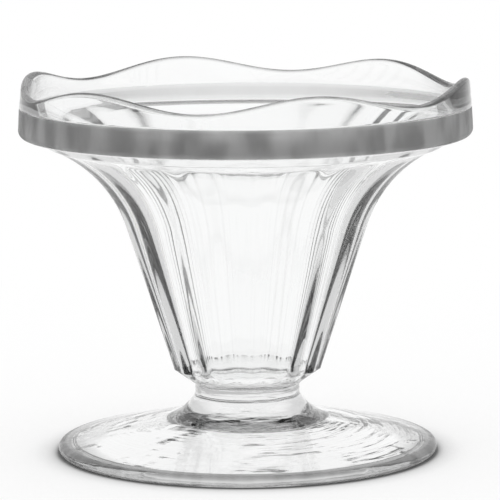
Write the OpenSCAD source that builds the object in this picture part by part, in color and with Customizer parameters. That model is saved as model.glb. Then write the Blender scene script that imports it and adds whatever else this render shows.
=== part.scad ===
// Low footed sundae dish in clear pressed glass.
// A domed foot carries a short neck, a fluted bowl that flares out, a plain collar and a wavy rim.
// Millimetres, +Z up, origin on the table under the middle of the foot, front towards -Y.

/* [Foot] */
// Diameter of the foot
foot_d = 101; // [94:1:108]
// Thickness of the foot's rounded edge
foot_edge_t = 2.9; // [2.4:0.1:3.4]
// Slope of the foot's top, in degrees from flat
foot_slope = 13.2; // [12:0.2:14]
// How far out from the neck the foot's top turns up to it
shoulder_reach = 3.9; // [3.6:0.1:5]
// Radius by which it turns up
shoulder_fillet_r = 12; // [8:0.5:13]
// How far in from the foot's edge the ring begins that the foot stands on
stand_inset = 2; // [1.8:0.1:3]
// Width of the ring that the foot stands on
stand_w = 2; // [1:0.5:3]
// Height of the hollow under the foot, at its flat roof
hollow_h = 7; // [5:0.2:7.4]
// Radius by which the roof turns down, parallel to the foot's top
roof_fillet_r = 8; // [4:1:12]
// Height of the hollow just inside the ring that the foot stands on
hollow_lip = 1.2; // [0.8:0.1:1.4]

/* [Neck] */
// Diameter of the neck at its narrowest
neck_d = 27.9; // [25:0.1:30]
// Slope between the foot's shoulder and the neck, in degrees from flat
neck_slope = 53; // [48:1:56]
// Radius of the fillet that ends that slope in the neck
neck_fillet_r = 2; // [1.5:0.1:2.4]
// Length of the straight part of the neck
neck_land = 2.2; // [1.6:0.2:3]

/* [Bowl] */
// Diameter over the ridges at the bottom of the bowl
base_d = 39.4; // [36.4:0.5:42.4]
// Slope of the bowl's underside between neck and flutes, in degrees from flat
base_slope = 35.5; // [31.5:0.5:39]
// Lean of the straight wall, in degrees from upright
wall_lean = 18; // [16:0.5:20]
// Height of the straight wall
wall_h = 38.6; // [34.1:0.5:43.6]
// Radius of the curve by which the wall flares out
flare_r = 34; // [32:0.5:36]
// Thickness of the wall over the ridges
wall_t = 5; // [4.2:0.1:5.6]
// Thickness of the glass between the neck and the bowl's floor
floor_t = 2.2; // [2:0.2:3.6]
// Radius between the bowl's floor and its wall
floor_fillet_r = 5; // [4:0.5:6]

/* [Flutes] */
// Number of flutes round the bowl
flutes = 18; // [16:1:20]
// Depth of a flute below its ridges, at the top of the straight wall
flute_depth = 1.1; // [0.6:0.1:1.4]
// Length over which the flutes run out under the collar, in degrees of the flare's curve
flute_runout = 7; // [4:1:12]

/* [Collar] */
// Diameter of the collar, the widest part of the dish
collar_d = 120; // [118:0.5:124]
// How far the collar stands out past the end of the flutes
collar_overhang = 7.6; // [6.6:0.1:9]
// Height of the collar's underside above the end of the flutes
collar_step = 2.5; // [2:0.1:3]
// How far the collar's outside leans in over its height
collar_lean = 0.3; // [0:0.1:0.6]
// Slope between the flutes and the collar's underside, in degrees from flat
under_slope = 36; // [30:1:42]
// Radius of the collar's lower edge
collar_edge_r = 1.9; // [1:0.1:2.4]
// Height of the collar from its underside to the rim
collar_h = 7.8; // [7:0.1:8.4]
// Depth of the ledge inside the rim, below the collar's top
ledge_drop = 0.5; // [0.4:0.1:1]
// Radius between that ledge and the rim
ledge_r = 1; // [0.5:0.1:1.2]

/* [Rim] */
// Thickness of the rim where it stands on the collar
rim_t = 3.1; // [2.8:0.1:3.4]
// Thickness of the rim at its rounded top
rim_top_t = 2.4; // [2:0.1:2.8]
// Mean height of the rim above the collar
rim_h = 5.8; // [5:0.1:8]
// How far the rim's outside leans in over that height
rim_lean = 0.5; // [0.2:0.1:1]
// Number of waves round the rim
waves = 6; // [4:1:8]
// Height of the waves from trough to crest
wave_h = 4.16; // [2:0.08:5]

/* [Hidden] */
$fn = 96;
glass = [0.82, 0.87, 0.88, 0.55];
overrun = 1;      // how far a cut runs past the body
front = -90;      // angle at which the front lies
flute_turn = 2.3; // angle of one ridge, counted from the front
wave_turn = 18;   // angle of one crest, counted from the front
arc_steps = 10;
lip_steps = 5;
flute_steps = 6;
flare_steps = 7;
runout_steps = 2;
rim_steps = 96;
tab_share = 0.3;   // where the flutes start on the bowl's underside, as a share of its width
join_share = 0.22; // where the flare ends in the slope under the collar, as a share of its width

// Points on a circle about c, from angle a to angle b
function arc(c, r, a, b, steps = arc_steps) =
    [for (i = [0 : steps]) let (t = a + (b - a) * i / steps) c + r * [cos(t), sin(t)]];
function rise(run, slope) = run * tan(slope);

// Foot
foot_r = foot_d / 2;
edge_r = foot_edge_t / 2;
edge_mid = [foot_r - edge_r, edge_r];
foot_top = edge_mid + edge_r * [sin(foot_slope), cos(foot_slope)];
neck_r = neck_d / 2;
shoulder_r = neck_r + shoulder_reach;
shoulder = [shoulder_r, foot_top.y + rise(foot_top.x - shoulder_r, foot_slope)];
shoulder_run = shoulder_fillet_r * tan((neck_slope - foot_slope) / 2);
shoulder_low = shoulder + shoulder_run * [cos(foot_slope), -sin(foot_slope)];
shoulder_mid = shoulder_low + shoulder_fillet_r * [sin(foot_slope), cos(foot_slope)];
shoulder_high = shoulder_mid - shoulder_fillet_r * [sin(neck_slope), cos(neck_slope)];
stand_r = foot_r - stand_inset;
hollow_r = stand_r - stand_w;
hollow_low = [hollow_r - hollow_lip, hollow_lip];
roof_r = hollow_low.x - (hollow_h - hollow_lip) / tan(foot_slope);
roof_fillet_mid = [roof_r - roof_fillet_r * tan(foot_slope / 2), hollow_h - roof_fillet_r];

// Neck
neck_fillet_x = neck_r + neck_fillet_r;
neck_fillet_z = shoulder_high.y + rise(shoulder_high.x - neck_fillet_x, neck_slope)
    + neck_fillet_r / cos(neck_slope);
neck_fillet_mid = [neck_fillet_x, neck_fillet_z];
neck_top = neck_fillet_z + neck_land;

// Bowl, outside, over the ridges
base_r = base_d / 2;
base_z = neck_top + rise(base_r - neck_r, base_slope);
wall_top = [base_r + wall_h * tan(wall_lean), base_z + wall_h];
flare_mid = wall_top + flare_r * [cos(wall_lean), -sin(wall_lean)];

// Collar and rim, outside
collar_r = collar_d / 2;
flare_end_r = collar_r - collar_overhang;
flare_turn = acos((flare_mid.x - flare_end_r) / flare_r);
flare_end_z = flare_mid.y + flare_r * sin(flare_turn);
collar_z = flare_end_z + collar_step;
collar_top = collar_z + collar_h;
collar_edge_mid = [collar_r - collar_edge_r, collar_z + collar_edge_r];
under_r = flare_end_r + collar_step / tan(under_slope);
join_r = flare_end_r + (under_r - flare_end_r) * join_share;
join_low = flare_end_z + rise(join_r - flare_end_r, under_slope);
rim_out = collar_r - collar_lean;
rim_in = rim_out - rim_t;
lip_r = rim_top_t / 2;
lip_z = collar_top + rim_h;
lip_mid = rim_out - rim_lean - lip_r;

// Bowl, inside, parallel to the wall and the flare
floor_z = neck_top + floor_t;
inner_r = flare_r + wall_t;
inner_top = flare_mid - inner_r * [cos(wall_lean), -sin(wall_lean)];
inner_base_r = inner_top.x - (inner_top.y - floor_z) * tan(wall_lean);
floor_fillet_x = inner_base_r - floor_fillet_r * tan(45 - wall_lean / 2);
floor_fillet_mid = [floor_fillet_x, floor_z + floor_fillet_r];

// The bowl's inside leaves the flare's curve on the line that touches it and meets the ledge
ledge = [rim_in, collar_top - ledge_drop];
ledge_out = ledge - flare_mid;
ledge_turn = 180 - atan2(ledge_out.y, ledge_out.x) - acos(inner_r / norm(ledge_out));
ledge_slope = 90 - ledge_turn;
inner_end = flare_mid + inner_r * [-cos(ledge_turn), sin(ledge_turn)];
join_high = inner_end.y + rise(join_r - inner_end.x, ledge_slope);
ledge_run = ledge_r * tan(ledge_turn / 2);
ledge_low = ledge - ledge_run * [cos(ledge_slope), sin(ledge_slope)];
ledge_mid = ledge_low + ledge_r * [-sin(ledge_slope), cos(ledge_slope)];

// Points of a level ring of the fluted wall, where share is that of the flute's full depth
function fluted(r, z, share = 1) = [for (i = [0 : flutes * flute_steps - 1])
    let (u = 2 * (i % flute_steps) / flute_steps - 1, t = front + flute_turn + i * 360 / flutes / flute_steps,
         d = r - share * flute_depth * r / wall_top.x * (1 - u * u))
        [d * cos(t), d * sin(t), z]];

// Solid through rings of points, from the lowest up, or joined end to end
module loft(rings, joined = false) {
    n = len(rings[0]);
    m = len(rings);
    sides = [for (j = [0 : m - (joined ? 1 : 2)]) for (i = [0 : n - 1])
        let (a = j * n, b = (j + 1) % m * n, k = (i + 1) % n) [a + i, b + i, b + k, a + k]];
    ends = joined ? [] : [[for (i = [0 : n - 1]) i], [for (i = [n - 1 : -1 : 0]) (m - 1) * n + i]];
    polyhedron([for (r = rings) for (p = r) p], concat(sides, ends), convexity = 6);
}

module turned(profile) color(glass) rotate_extrude() polygon(profile);

// The foot's underside is hollow, so that it stands on a ring
module foot() turned(concat(
    [[0, hollow_h]],
    arc(roof_fillet_mid, roof_fillet_r, 90, 90 - foot_slope, lip_steps),
    [hollow_low, [hollow_r, 0], [stand_r, 0]],
    arc(edge_mid, edge_r, -90, 90 - foot_slope),
    arc(shoulder_mid, shoulder_fillet_r, 270 - foot_slope, 270 - neck_slope, lip_steps),
    [[0, shoulder_high.y]]));

module neck() turned(concat(
    [[0, shoulder_high.y], shoulder_high],
    arc(neck_fillet_mid, neck_fillet_r, 270 - neck_slope, 180),
    [[neck_r, neck_top], [0, neck_top]]));

// Inside of the bowl and the flare, as one solid that both are cut with
module bowl_inside() rotate_extrude() polygon(concat(
    [[0, floor_z]],
    arc(floor_fillet_mid, floor_fillet_r, -90, -wall_lean),
    arc(flare_mid, inner_r, 180 - wall_lean, 180 - ledge_turn),
    [[join_r + overrun, join_high + rise(overrun, ledge_slope)],
     [join_r + overrun, join_high + 2 * overrun], [0, join_high + 2 * overrun]]));

module bowl() color(glass) difference() {
    tab_r = neck_r + (base_r - neck_r) * tab_share;
    loft([fluted(neck_r, neck_top, 0), fluted(tab_r, neck_top + rise(tab_r - neck_r, base_slope), 0),
          fluted(base_r, base_z), fluted(wall_top.x, wall_top.y)]);
    bowl_inside();
}

module flare() color(glass) difference() {
    runout = flare_turn - flute_runout;
    loft(concat(
        [for (p = arc(flare_mid, flare_r, 180 - wall_lean, 180 - runout, flare_steps)) fluted(p.x, p.y)],
        [for (i = [1 : runout_steps]) let (s = i / runout_steps, t = runout + flute_runout * s)
            fluted(flare_mid.x - flare_r * cos(t), flare_mid.y + flare_r * sin(t), 1 - s)],
        [fluted(join_r, join_low, 0), fluted(join_r, join_high + overrun, 0)]));
    bowl_inside();
}

// The collar's inside is the upper end of the bowl's inside, up to the foot of the rim
module collar() turned(concat(
    [[join_r, join_high], [join_r, join_low], [under_r, collar_z]],
    arc(collar_edge_mid, collar_edge_r, -90, 0),
    [[rim_out, collar_top], [rim_in, collar_top]],
    arc(ledge_mid, ledge_r, 0, -ledge_turn, lip_steps)));

// Points of a ring of the rim at radius r, raised with the waves by a share of their height
function waved(r, z, share = 1) = [for (i = [0 : rim_steps - 1])
    let (u = i * 360 / rim_steps, t = front + wave_turn + u)
        [r * cos(t), r * sin(t), z + share * wave_h / 2 * cos(waves * u)]];

module wavy_rim() color(glass) loft(concat(
    [waved(rim_in, collar_top, 0), waved(rim_out, collar_top, 0)],
    [for (p = arc([lip_mid, lip_z - lip_r], lip_r, 0, 180)) waved(p.x, p.y)]), joined = true);

foot();
neck();
bowl();
flare();
collar();
wavy_rim();
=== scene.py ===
# Clear pressed dessert glass: foot, neck, fluted bowl with its flare, collar and wavy rim, on a white table
import math

import bpy
import numpy as np
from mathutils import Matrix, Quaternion, Vector


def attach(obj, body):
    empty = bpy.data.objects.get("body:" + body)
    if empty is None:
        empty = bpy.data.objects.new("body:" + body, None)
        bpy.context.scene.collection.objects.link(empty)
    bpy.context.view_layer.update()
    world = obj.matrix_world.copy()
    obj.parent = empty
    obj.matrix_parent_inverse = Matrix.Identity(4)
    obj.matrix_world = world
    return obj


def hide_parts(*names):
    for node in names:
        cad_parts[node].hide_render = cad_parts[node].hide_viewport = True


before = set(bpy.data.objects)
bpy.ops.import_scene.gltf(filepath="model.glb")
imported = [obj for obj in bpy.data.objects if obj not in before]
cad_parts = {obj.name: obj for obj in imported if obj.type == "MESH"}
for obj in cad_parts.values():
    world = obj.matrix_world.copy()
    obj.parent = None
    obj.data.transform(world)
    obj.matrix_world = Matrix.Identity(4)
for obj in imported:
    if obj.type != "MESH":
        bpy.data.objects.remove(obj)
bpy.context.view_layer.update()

mm = 0.001
scene = bpy.context.scene
print("frame loaded, nodes:", ", ".join(sorted(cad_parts)))


def rad(degrees):
    return math.radians(degrees)


def tan(degrees):
    return math.tan(rad(degrees))


def polar(centre, radius, angle):
    return (centre[0] + radius * math.cos(rad(angle)), centre[1] + radius * math.sin(rad(angle)))


def arc(centre, radius, start, end, steps):
    return [polar(centre, radius, start + (end - start) * k / steps) for k in range(steps + 1)]


def between(a, b, steps):
    # the points strictly between a and b
    return [(a[0] + (b[0] - a[0]) * k / steps, a[1] + (b[1] - a[1]) * k / steps) for k in range(1, steps)]


def fadeIn(value, low, high):
    return min(1.0, max(0.0, (value - low) / (high - low)))


# the outline runs from the middle of the underside, round the lip, to the middle of the bowl's floor
stations = []  # radius and height in mm, share of the flutes' depth, share of the waves' height
seams = {}     # rows at which one piece meets the next


def add(points, flute=0.0, wave=0.0):
    # flute and wave are numbers, or functions of radius and height
    for r, z in points:
        shares = [part(r, z) if callable(part) else part for part in (flute, wave)]
        stations.append((r, z, *shares))


def seam(name):
    seams[name] = len(stations) - 1


# sizes in millimetres and degrees, radii from the axis
# "glass" and "wearAndShade" change the common looks, glassLook and wearAndShadeLook below, for one piece;
# "wearAndShade" is a band of wear with a painted darkening and painted grey shade laid over it
foot = {
    "radius": 50.5,
    "edgeThickness": 2.9,
    "slope": 13.2,
    "shoulderReach": 3.9,    # beyond the neck
    "shoulderFillet": 12.0,
    "standInset": 2.0,       # of the flat ring that it stands on
    "standWidth": 2.0,
    "hollowHeight": 7.0,
    "hollowLip": 1.2,
    "roofFillet": 8.0,
    "glass": {"waveHeight": 0.5, "waveRings": 260.0, "waveTurns": 0.9, "lostInside": 0.1},
    # a band at the foot's edge: a little rougher, with a painted darkening and painted grey shade laid over
    # it
    "wearAndShade": {"radius": 50.5, "reach": 2.4, "rough": 0.05, "lost": 0.6, "paintedShade": 0.45},
}


def outlineFoot():
    slope, fillet = foot["slope"], foot["shoulderFillet"]
    edge, top, lip = foot["edgeThickness"] / 2, foot["hollowHeight"], foot["hollowLip"]
    edgeCentre = (foot["radius"] - edge, edge)
    stand = foot["radius"] - foot["standInset"]
    ring = stand - foot["standWidth"]
    roofRadius = foot["roofFillet"]
    roofEdge = ring - lip - (top - lip) / tan(slope)
    roofCentre = (roofEdge - roofRadius * tan(slope / 2), top - roofRadius)
    roof = arc(roofCentre, roofRadius, 90, 90 - slope, steps=6)
    add(between((0.0, top), roof[0], steps=8))
    add(roof)
    add(between(roof[-1], (ring - lip, lip), steps=14))
    add(arc((ring, lip), lip, 180, 270, steps=6))
    add(between((ring, 0.0), (stand, 0.0), steps=3) + [(stand, 0.0)])
    add(arc(edgeCentre, edge, -90, 90 - slope, steps=14))
    edgeTop = stations[-1][:2]
    shoulder = neck["radius"] + foot["shoulderReach"]
    corner = (shoulder, edgeTop[1] + (edgeTop[0] - shoulder) * tan(slope))
    low = polar(corner, fillet * tan((neck["slope"] - slope) / 2), -slope)
    centre = polar(low, fillet, 90 - slope)
    add(between(edgeTop, low, steps=18))
    add(arc(centre, fillet, 270 - slope, 270 - neck["slope"], steps=10))
    seam("footTop")


neck = {
    "radius": 13.95,
    "slope": 53.0,
    "fillet": 2.0,
    "land": 2.2,             # straight part above the fillet
    "glass": {"waveHeight": 0.4, "waveRings": 700.0, "waveTurns": 0.4, "lostInside": 0.45},
}


def outlineNeck():
    r, z = stations[-1][:2]
    fillet, slope, waist = neck["fillet"], neck["slope"], neck["radius"]
    x = waist + fillet
    centre = (x, z + (r - x) * tan(slope) + fillet / math.cos(rad(slope)))
    top = (waist, centre[1] + neck["land"])
    add(between((r, z), polar(centre, fillet, 270 - slope), steps=5))
    add(arc(centre, fillet, 270 - slope, 180, steps=10))
    add(between((waist, centre[1]), top, steps=3) + [top])
    seam("neckTop")


bowl = {
    "baseRadius": 19.7,
    "baseSlope": 35.5,
    "lean": 18.0,
    "wallHeight": 38.6,
    "thickness": 5.0,
    "floorThickness": 2.2,
    "floorFillet": 5.0,
    "flutes": 18,
    "fluteDepth": 1.1,       # at the top of the wall
    "firstRidge": 2.3,
    "tabShare": 0.3,         # of the underside stays round before the flutes begin
    "glass": {"roughMost": 0.05, "lostInside": 0.34},
}


def outlineWall():
    r, z = stations[-1][:2]
    base = (bowl["baseRadius"], z + (bowl["baseRadius"] - r) * tan(bowl["baseSlope"]))
    tabs = r + (base[0] - r) * bowl["tabShare"]
    top = (base[0] + bowl["wallHeight"] * tan(bowl["lean"]), base[1] + bowl["wallHeight"])
    add(between((r, z), base, steps=12), flute=lambda x, y: fadeIn(x, tabs, base[0]))
    add([base] + between(base, top, steps=20) + [top], flute=1.0)
    seam("wallTop")
    return top


flare = {
    "radius": 34.0,
    "fluteRunout": 7.0,      # degrees of the arc over which the flutes fade
    "glass": {"roughMost": 0.05, "lostInside": 0.3},
}


def outlineFlare(centre):
    radius = flare["radius"]
    reach = centre[0] - collar["radius"] + collar["overhang"]
    end = 180 - math.degrees(math.acos(reach / radius))
    runout = end + flare["fluteRunout"]
    add(arc(centre, radius, 180 - bowl["lean"], runout, steps=26)[1:], flute=1.0)
    steps = 8
    for k in range(1, steps + 1):
        share = k / steps
        add([polar(centre, radius, runout + (end - runout) * share)], flute=1 - share)
    r, z = stations[-1][:2]
    under = (r + collar["step"] / tan(collar["underSlope"]), z + collar["step"])
    join = r + (under[0] - r) * collar["joinShare"]
    add([(join, z + (join - r) * tan(collar["underSlope"]))])
    seam("flareLow")
    return under


collar = {
    "radius": 60.0,
    "overhang": 7.6,
    "step": 2.5,
    "underSlope": 36.0,
    "joinShare": 0.22,       # of the underside belongs to the flare
    "edgeRadius": 1.9,
    "height": 7.8,
    "lean": 0.3,
    "ledgeDrop": 0.5,        # of the ledge inside, below the foot of the rim
    "ledgeFillet": 1.0,
    "glass": {"lostInside": 0.08},
    # a band round the collar's outside: frosted, with painted grey shade laid over it
    "wearAndShade": {"radius": 60.0, "reach": 0.9, "rough": 0.6, "paintedShade": 0.55, "dark": (0.2, 0.2, 0.2, 1.0)},
}


def outlineCollar(under):
    edge, radius = collar["edgeRadius"], collar["radius"]
    low = (radius - edge, under[1])
    top = (radius - collar["lean"], under[1] + collar["height"])
    add(between(stations[-1][:2], under, steps=4) + [under] + between(under, low, steps=3))
    add(arc((radius - edge, under[1] + edge), edge, -90, 0, steps=10))
    add(between((radius, under[1] + edge), top, steps=6) + [top])
    seam("collarOutside")
    return top


rim = {
    "thickness": 3.1,
    "topThickness": 2.4,
    "height": 5.8,
    "lean": 0.5,
    "waves": 6,
    "waveHeight": 4.16,
    "firstCrest": 18.0,
    "glass": {"lostInside": 0.4},
    # a band along the lip, with a painted darkening and painted grey shade laid over it
    "wearAndShade": {"radius": 58.0, "reach": 1.2, "lost": 0.4, "paintedShade": 0.5},
}


def outlineRim(start):
    lip = rim["topThickness"] / 2
    height = start[1] + rim["height"] - lip
    middle = start[0] - rim["lean"] - lip
    inside = (start[0] - rim["thickness"], start[1])

    def rising(r, z):
        return fadeIn(z, start[1], height)

    add(between(start, (middle + lip, height), steps=8), wave=rising)
    add(arc((middle, height), lip, 0, 180, steps=16), wave=1.0)
    add(between((middle - lip, height), inside, steps=8) + [inside], wave=rising)
    seam("collarInside")
    return inside


def outlineInside(rimFoot, flareCentre):
    # down over the ledge, the flare and the wall to the bowl's floor
    radius, lean = flare["radius"] + bowl["thickness"], bowl["lean"]
    ledgeFillet, floorFillet = collar["ledgeFillet"], bowl["floorFillet"]
    ledge = (rimFoot[0], rimFoot[1] - collar["ledgeDrop"])
    dx, dz = ledge[0] - flareCentre[0], ledge[1] - flareCentre[1]
    touch = math.degrees(math.atan2(dz, dx) + math.acos(radius / math.hypot(dx, dz)))
    slope = touch - 90
    low = polar(ledge, ledgeFillet * tan((90 - slope) / 2), 180 + slope)
    flareEnd = polar(flareCentre, radius, touch)
    joinRadius = stations[seams["flareLow"]][0]
    join = (joinRadius, flareEnd[1] + (joinRadius - flareEnd[0]) * tan(slope))
    add(arc(polar(low, ledgeFillet, 90 + slope), ledgeFillet, 0, slope - 90, steps=8))
    add(between(low, join, steps=3) + [join])
    seam("flareHigh")
    add(between(join, flareEnd, steps=6))
    add(arc(flareCentre, radius, touch, 180 - lean, steps=26))
    r, z = stations[-1][:2]
    cut = stations[seams["wallTop"]][1]
    wall = (r - (z - cut) * tan(lean), cut)
    add(between((r, z), wall, steps=2) + [wall])
    seam("wallInside")
    floor = stations[seams["neckTop"]][1] + bowl["floorThickness"]
    flat = r - (z - floor) * tan(lean) - floorFillet * tan(45 - lean / 2)
    centre = (flat, floor + floorFillet)
    add(between(wall, polar(centre, floorFillet, -lean), steps=20))
    add(arc(centre, floorFillet, -lean, -90, steps=10))
    add(between((flat, floor), (0.0, floor), steps=8))


outlineFoot()
outlineNeck()
wallTop = outlineWall()
flareCentre = polar(wallTop, flare["radius"], -bowl["lean"])
rimFoot = outlineRim(outlineCollar(outlineFlare(flareCentre)))
outlineInside(rimFoot, flareCentre)
rows = len(stations)
stepsEachFlute = 20
around = bowl["flutes"] * stepsEachFlute
print("outline:", rows, "rows of", around, "points")


# the whole skin as one sheet of points, row by row
def skinPoints():
    column = np.arange(around)
    azimuth = np.radians(bowl["firstRidge"] + column * 360 / around)
    ridge = (1 + np.cos(2 * np.pi * column / stepsEachFlute)) / 2  # round in the flute and on the ridge
    wave = np.cos(rim["waves"] * (azimuth - rad(rim["firstCrest"]))) * rim["waveHeight"] / 2
    points = np.empty((rows, around, 3))
    for row, (r, z, flute, lift) in enumerate(stations):
        radius = r - flute * bowl["fluteDepth"] * r / wallTop[0] * (1 - ridge)
        x, y = radius * np.sin(azimuth), -radius * np.cos(azimuth)
        points[row] = np.stack([x, y, z + lift * wave], axis=-1)
    return points * mm


skin = skinPoints()
underside = foot["hollowHeight"]  # heights at which the skin closes on the axis
bowlFloor = stations[-1][1]


def loopFaces(path, counts):
    # faces between neighbouring rows of points, facing out; a row of one point is a pole
    starts = [sum(counts[:k]) for k in range(len(counts))]
    k = np.arange(around)
    after = (k + 1) % around
    faces = []
    for low, high in path:
        a, b = starts[low], starts[high]
        if counts[low] == 1:
            corners = [np.full(around, a), b + after, b + k]
        elif counts[high] == 1:
            corners = [a + k, a + after, np.full(around, b)]
        else:
            corners = [a + k, a + after, b + after, b + k]
        faces.append(np.stack(corners, axis=-1))
    return faces


def axisPoint(height):
    return np.array([[0.0, 0.0, height * mm]])


def meshFrom(name, blocks, path):
    faces = loopFaces(path, [len(block) for block in blocks])
    mesh = bpy.data.meshes.new(name)
    faceList = [face for group in faces for face in group.tolist()]
    mesh.from_pydata(np.concatenate(blocks).tolist(), [], faceList)
    mesh.shade_smooth()
    return mesh, faces


creaseAngle = 24.0  # degrees; steeper edges stay crisp


# shading normals come from the skin as a whole, so that no seam shows between pieces
def skinNormals():
    blocks = [axisPoint(underside)] + list(skin) + [axisPoint(bowlFloor)]
    mesh, faces = meshFrom("skin", blocks, [(k, k + 1) for k in range(rows + 1)])
    mesh.set_sharp_from_angle(angle=rad(creaseAngle))
    normals = np.empty(len(mesh.loops) * 3)
    mesh.corner_normals.foreach_get("vector", normals)
    bpy.data.meshes.remove(mesh)
    ends = np.cumsum([group.size for group in faces])
    return np.split(normals.reshape(-1, 3), ends[:-1])


normalShares = skinNormals()
print("skin shaded:", sum(len(share) for share in normalShares), "corners")

white = (1.0, 1.0, 1.0, 1.0)
black = (0.0, 0.0, 0.0, 1.0)
noiseDetail = 3.0


# shader maths written on sockets
class Wire:
    def __init__(self, tree, socket):
        self.tree = tree
        self.socket = socket

    def maths(self, operation, *parts):
        return self.tree.node("ShaderNodeMath", {"operation": operation}, dict(enumerate(parts)))

    def __add__(self, other):
        return self.maths("ADD", self, other)

    def __sub__(self, other):
        return self.maths("SUBTRACT", self, other)

    def __rsub__(self, other):
        return self.maths("SUBTRACT", other, self)

    def __mul__(self, other):
        return self.maths("MULTIPLY", self, other)

    def __abs__(self):
        return self.maths("ABSOLUTE", self)

    def __or__(self, other):  # the larger of the two
        return self.maths("MAXIMUM", self, other)

    __radd__ = __add__
    __rmul__ = __mul__
    __ror__ = __or__


class Tree:  # of a material or the world; node() makes each node in it
    def __init__(self, owner):
        owner.use_nodes = True
        self.nodes = owner.node_tree.nodes
        self.links = owner.node_tree.links
        self.nodes.clear()

    def node(self, kind, settings=None, values=None, output=0):
        made = self.nodes.new(kind)
        for name, value in (settings or {}).items():
            if name == "stops":
                ramp = made.color_ramp
                while len(ramp.elements) < len(value):
                    ramp.elements.new(1.0)
                for stop, (place, level) in zip(ramp.elements, value):
                    stop.position = place
                    stop.color = (level, level, level, 1.0)
            else:
                setattr(made, name, value)
        for name, value in (values or {}).items():
            if isinstance(value, Wire):
                self.links.new(value.socket, made.inputs[name])
            else:
                made.inputs[name].default_value = value
        return Wire(self, made.outputs[output] if len(made.outputs) else None)

    def blend(self, share, a, b):
        values = {"Factor": share, "A": a, "B": b}
        return self.node("ShaderNodeMix", {"data_type": "RGBA"}, values, output=2)

    def ease(self, value, low, high, least=0.0):
        # from least to 1 as the value goes from low to high
        return self.node("ShaderNodeMapRange", {"interpolation_type": "SMOOTHSTEP"},
                         {"Value": value, "From Min": low, "From Max": high, "To Min": least})

    def ringNoise(self, outward, along, turns):
        # noise that is stretched round the axis
        along = self.node("ShaderNodeCombineXYZ", values={"Z": along})
        place = self.node("ShaderNodeVectorMath", {"operation": "MULTIPLY_ADD"},
                          {0: outward, 1: (turns, turns, turns), 2: along})
        return self.node("ShaderNodeTexNoise", values={"Vector": place, "Scale": 1.0, "Detail": noiseDetail})

    def matt(self, colour):
        return self.node("ShaderNodeBsdfPrincipled", values={
            "Base Color": colour, "Roughness": 1.0, "Specular IOR Level": 0.0})

    def mixShaders(self, share, a, b):
        return self.node("ShaderNodeMixShader", values={0: share, 1: a, 2: b})


glassLook = {
    "ior": 1.52,
    "tint": (0.99, 0.997, 0.995, 1.0),
    "tintThin": white,
    "cloudScale": 40.0,      # the glass varies in patches of about 1 / cloudScale metres
    "roughMost": 0.02,
    "waveHeight": 0.02,      # ripple left by the mould, in mm
    "waveRings": 140.0,      # ripples to a metre outward and up
    "waveTurns": 2.0,        # the more, the shorter they are round the axis
    "calm": 0.4,             # cloud values at which the ripple is weakest and full
    "rippled": 0.6,
    "rippleLeast": 0.2,      # share of the ripple that is left in the calm patches
    "lostInside": 0.4,       # share of the light that is lost where the surface throws it back inside
}
# each piece with a band of wear and painted shade gives the band's radius, and how far the band reaches from
# it, in mm
wearAndShadeLook = {
    "core": 0.6,             # share of the reach that is fully in the band
    "rough": 0.0,            # added to the roughness there
    "lost": 0.0,             # added to lostInside there, a painted darkening of the band
    "paintedShade": 0.5,             # share of the surface that is veiled in painted grey shade there
    "lessInside": 0.75,      # how much of that is missing where it is seen through the glass
    "streakRings": 60.0,     # fine streaks in the painted shade, as the ripple's
    "streakTurns": 9.0,
    "streakFrom": 0.35,      # noise values at which a streak is dark and pale
    "streakTo": 0.65,
    # greys of the painted shade's streaks
    "dark": (0.17, 0.17, 0.17, 1.0),
    "pale": (0.38, 0.38, 0.38, 1.0),
}


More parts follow.
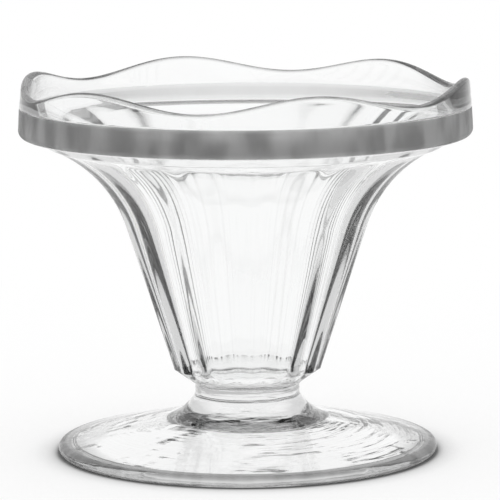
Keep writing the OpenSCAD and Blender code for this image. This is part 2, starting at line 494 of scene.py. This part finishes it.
def clearGlass(name, look, wearAndShade):
    material = bpy.data.materials.new(name)
    tree = Tree(material)
    place = tree.node("ShaderNodeTexCoord", output="Object")
    flat = tree.node("ShaderNodeVectorMath", {"operation": "MULTIPLY"}, {0: place, 1: (1.0, 1.0, 0.0)})
    radius = tree.node("ShaderNodeVectorMath", {"operation": "LENGTH"}, {0: flat}, output="Value")
    outward = tree.node("ShaderNodeVectorMath", {"operation": "NORMALIZE"}, {0: flat})
    along = radius + tree.node("ShaderNodeSeparateXYZ", values={0: place}, output="Z")
    clouds = tree.node("ShaderNodeTexNoise", values={
        "Vector": place, "Scale": look["cloudScale"], "Detail": noiseDetail})
    ripple = tree.ringNoise(outward, along * look["waveRings"], look["waveTurns"])
    ripple = ripple * tree.ease(clouds, look["calm"], look["rippled"], look["rippleLeast"])
    bump = tree.node("ShaderNodeBump", values={
        "Strength": 1.0, "Distance": look["waveHeight"] * mm, "Height": ripple})
    rough, lostShare = clouds * look["roughMost"], look["lostInside"]
    if wearAndShade:
        # the band is rougher where worn, and darkened with painted shade
        reach = wearAndShade["reach"] * mm
        wearAndShadeBand = tree.ease(abs(radius - wearAndShade["radius"] * mm), reach, reach * wearAndShade["core"])
        rough = rough + wearAndShadeBand * wearAndShade["rough"]
        lostShare = lostShare + wearAndShadeBand * wearAndShade["lost"]
    glass = tree.node("ShaderNodeBsdfPrincipled", values={
        "Base Color": tree.blend(clouds, look["tint"], look["tintThin"]), "Roughness": rough,
        "IOR": look["ior"], "Transmission Weight": 1.0, "Normal": bump})
    # light that the surface throws back inside goes a long way through the glass, and loses some on it
    inside = tree.node("ShaderNodeNewGeometry", output="Backfacing")
    thrownBack = tree.node("ShaderNodeFresnel", values={"IOR": look["ior"]})
    surface = tree.mixShaders(inside * thrownBack * lostShare, glass, tree.matt(black))
    if wearAndShade:
        # painted grey shade in streaks over the band, fainter where it is seen through the glass
        streaks = tree.ringNoise(outward, along * wearAndShade["streakRings"], wearAndShade["streakTurns"])
        streaks = tree.ease(streaks, wearAndShade["streakFrom"], wearAndShade["streakTo"])
        paintedShadeShare = wearAndShadeBand * (1 - inside * wearAndShade["lessInside"]) * wearAndShade["paintedShade"]
        paintedShade = tree.matt(tree.blend(streaks, wearAndShade["dark"], wearAndShade["pale"]))
        surface = tree.mixShaders(paintedShadeShare, surface, paintedShade)
    tree.node("ShaderNodeOutputMaterial", values={"Surface": surface})
    return material


def seamMaterial():
    # where two zones of the same glass meet there is no surface, so it lets everything through
    material = bpy.data.materials.new("seam")
    tree = Tree(material)
    through = tree.node("ShaderNodeBsdfPrincipled", values={"Alpha": 0.0})
    tree.node("ShaderNodeOutputMaterial", values={"Surface": through})
    return material


seamLook = seamMaterial()
tiny = 1e-12  # a face of no size is not divided by zero


def flatNormals(corners):
    across = np.cross(corners[:, 1] - corners[:, 0], corners[:, 2] - corners[:, 1])
    across /= np.maximum(np.linalg.norm(across, axis=1, keepdims=True), tiny)
    return np.repeat(across, corners.shape[1], axis=0)


def skinRow(row):
    if row < 0:
        return axisPoint(underside)
    return axisPoint(bowlFloor) if row >= rows else skin[row]


def buildPiece(node, settings, *spans, ring=False):
    # spans are stretches of the skin's rows: -1 is the pole before row 0, and rows is the one after the last;
    # a ring joins its last row to its first, any other piece ends on the axis
    spans = [(seams.get(first, first), seams.get(last, last)) for first, last in spans]
    marks = [row for first, last in spans for row in range(first, last + 1)]
    blocks = [skinRow(row) for row in marks]
    start, end = spans[0][0], spans[-1][1]
    if not ring and start >= 0:
        blocks.insert(0, axisPoint(stations[start][1]))
        marks.insert(0, None)
    if not ring and end < rows:
        blocks.append(axisPoint(stations[end][1]))
        marks.append(None)
    path = [(k, k + 1) for k in range(len(blocks) - 1)]
    if ring:
        path.append((len(blocks) - 1, 0))
    mesh, faces = meshFrom(node, blocks, path)
    points = np.concatenate(blocks)
    normals, slots = [], []
    for (low, high), group in zip(path, faces):
        onSkin = None not in (marks[low], marks[high]) and marks[high] - marks[low] == 1
        normals.append(normalShares[marks[low] + 1] if onSkin else flatNormals(points[group]))
        slots += [0 if onSkin else 1] * len(group)
    mesh.normals_split_custom_set(np.concatenate(normals).tolist())
    wearAndShade = {**wearAndShadeLook, **settings["wearAndShade"]} if "wearAndShade" in settings else None
    mesh.materials.append(clearGlass(node + "Glass", {**glassLook, **settings["glass"]}, wearAndShade))
    mesh.materials.append(seamLook)
    mesh.polygons.foreach_set("material_index", slots)
    piece = bpy.data.objects.new(node + "_glass", mesh)
    scene.collection.objects.link(piece)
    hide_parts(node)
    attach(piece, "root")
    print("built", piece.name, "with", len(mesh.polygons), "faces")


buildPiece("foot", foot, (-1, "footTop"))
buildPiece("neck", neck, ("footTop", "neckTop"))
buildPiece("bowl", bowl, ("neckTop", "wallTop"), ("wallInside", rows))
buildPiece("flare", flare, ("wallTop", "flareLow"), ("flareHigh", "wallInside"), ring=True)
buildPiece("collar", collar, ("flareLow", "collarOutside"), ("collarInside", "flareHigh"), ring=True)
buildPiece("wavy_rim", rim, ("collarOutside", "collarInside"), ring=True)

# white all round for the camera, and for the glass white screens on four sides with pale grey between
studio = {
    "screen": [(0.0, 0.8), (0.80, 0.8), (0.94, 1.0), (1.0, 1.0)],
    "sideScreens": 0.97,           # how near to full white the screens at the sides and in front come
    "floorRadius": 300.0,
    "floorCorners": 96,
    "floorMatt": 0.25,             # share of the floor's white that is lit, the rest glows
    "floorMattSeenThrough": 0.05,
    "contactReach": 45.0,          # painted shade round the foot, in mm
    "contactShade": 2.3,
    "ringReach": 2.5,              # and painted shade close under its stand, seen through the glass
    "ringShade": 0.8,
    "bounces": 40,
    "glossyBounces": 20,
    "seeThroughs": 64,
}


def rayShare(tree, first, second):
    # 1 for rays of either kind
    return tree.node("ShaderNodeLightPath", output=first) | tree.node("ShaderNodeLightPath", output=second)


def makeWorld():
    world = bpy.data.worlds.new("studio")
    world.cycles.sampling_method = "NONE"  # else the light would be the same for every kind of ray
    scene.world = world
    tree = Tree(world)
    direction = tree.node("ShaderNodeTexCoord", output="Generated")
    across = tree.node("ShaderNodeSeparateXYZ", values={0: direction}, output="X")
    along = tree.node("ShaderNodeSeparateXYZ", values={0: direction}, output="Y")
    near = along | (abs(across) | abs(along)) * studio["sideScreens"]
    level = tree.node("ShaderNodeValToRGB", {"stops": studio["screen"]}, {0: near})
    level = tree.blend(rayShare(tree, "Is Camera Ray", "Is Diffuse Ray"), level, white)
    light = tree.node("ShaderNodeBackground", values={"Color": level, "Strength": 1.0})
    tree.node("ShaderNodeOutputWorld", values={"Surface": light})


def shut(tree, reach):
    # how much of the room above the floor is taken up within this reach
    return 1 - tree.node("ShaderNodeAmbientOcclusion", values={"Distance": reach * mm}, output="AO")


def tableMaterial():
    # partly lit and partly glowing, white in sum where no shade falls; the lit part takes the real shadow,
    # and the glow carries painted shade from occlusion nodes; seen through the glass it glows more
    material = bpy.data.materials.new("whiteTable")
    tree = Tree(material)
    through = rayShare(tree, "Is Transmission Ray", "Is Glossy Ray")
    lit = studio["floorMatt"] + through * (studio["floorMattSeenThrough"] - studio["floorMatt"])
    # painted shade from occlusion round the foot, and close under the stand for rays through the glass
    shade = shut(tree, studio["contactReach"]) * (1 - through) * studio["contactShade"]
    shade = shade + shut(tree, studio["ringReach"]) * through * studio["ringShade"]
    surface = tree.node("ShaderNodeBsdfPrincipled", values={
        "Base Color": tree.blend(lit, black, white), "Roughness": 1.0, "Specular IOR Level": 0.0,
        "Emission Color": tree.blend((1 - lit) * (1 - shade), black, white), "Emission Strength": 1.0})
    tree.node("ShaderNodeOutputMaterial", values={"Surface": surface})
    return material


def makeFloor():
    count = studio["floorCorners"]
    corners = arc((0.0, 0.0), studio["floorRadius"] * mm, 0, 360, steps=count)[:count]
    mesh = bpy.data.meshes.new("floor")
    mesh.from_pydata([(x, y, 0.0) for x, y in corners], [], [list(range(count))])
    mesh.materials.append(tableMaterial())
    floor = bpy.data.objects.new("floor", mesh)
    scene.collection.objects.link(floor)


makeWorld()
makeFloor()
scene.view_settings.view_transform = "Standard"
scene.cycles.max_bounces = studio["bounces"]
scene.cycles.transmission_bounces = studio["bounces"]
scene.cycles.glossy_bounces = studio["glossyBounces"]
scene.cycles.transparent_max_bounces = studio["seeThroughs"]
print("studio set")

# camera at the photograph's angle, in millimetres and degrees
lens = {
    "distance": 955.73,
    "elevation": 8.407,
    "roll": -0.394,
    "aimHeight": 53.84,
    "aimSide": 0.948,
    "focal": 259.16,
    "sensor": 36.0,
    "nearest": 10.0,
}


def makeCamera():
    data = bpy.data.cameras.new("camera")
    data.sensor_width = lens["sensor"]
    data.lens = lens["focal"]
    data.clip_start = lens["nearest"] * mm
    camera = bpy.data.objects.new("camera", data)
    scene.collection.objects.link(camera)
    tilt = rad(lens["elevation"])
    back = Vector((0.0, -math.cos(tilt), math.sin(tilt)))
    aim = Vector((lens["aimSide"], 0.0, lens["aimHeight"]))
    camera.location = (aim + back * lens["distance"]) * mm
    camera.rotation_mode = "QUATERNION"
    roll = Quaternion((0.0, 0.0, 1.0), rad(lens["roll"]))
    camera.rotation_quaternion = (-back).to_track_quat("-Z", "Y") @ roll
    scene.camera = camera


makeCamera()
print("camera set")
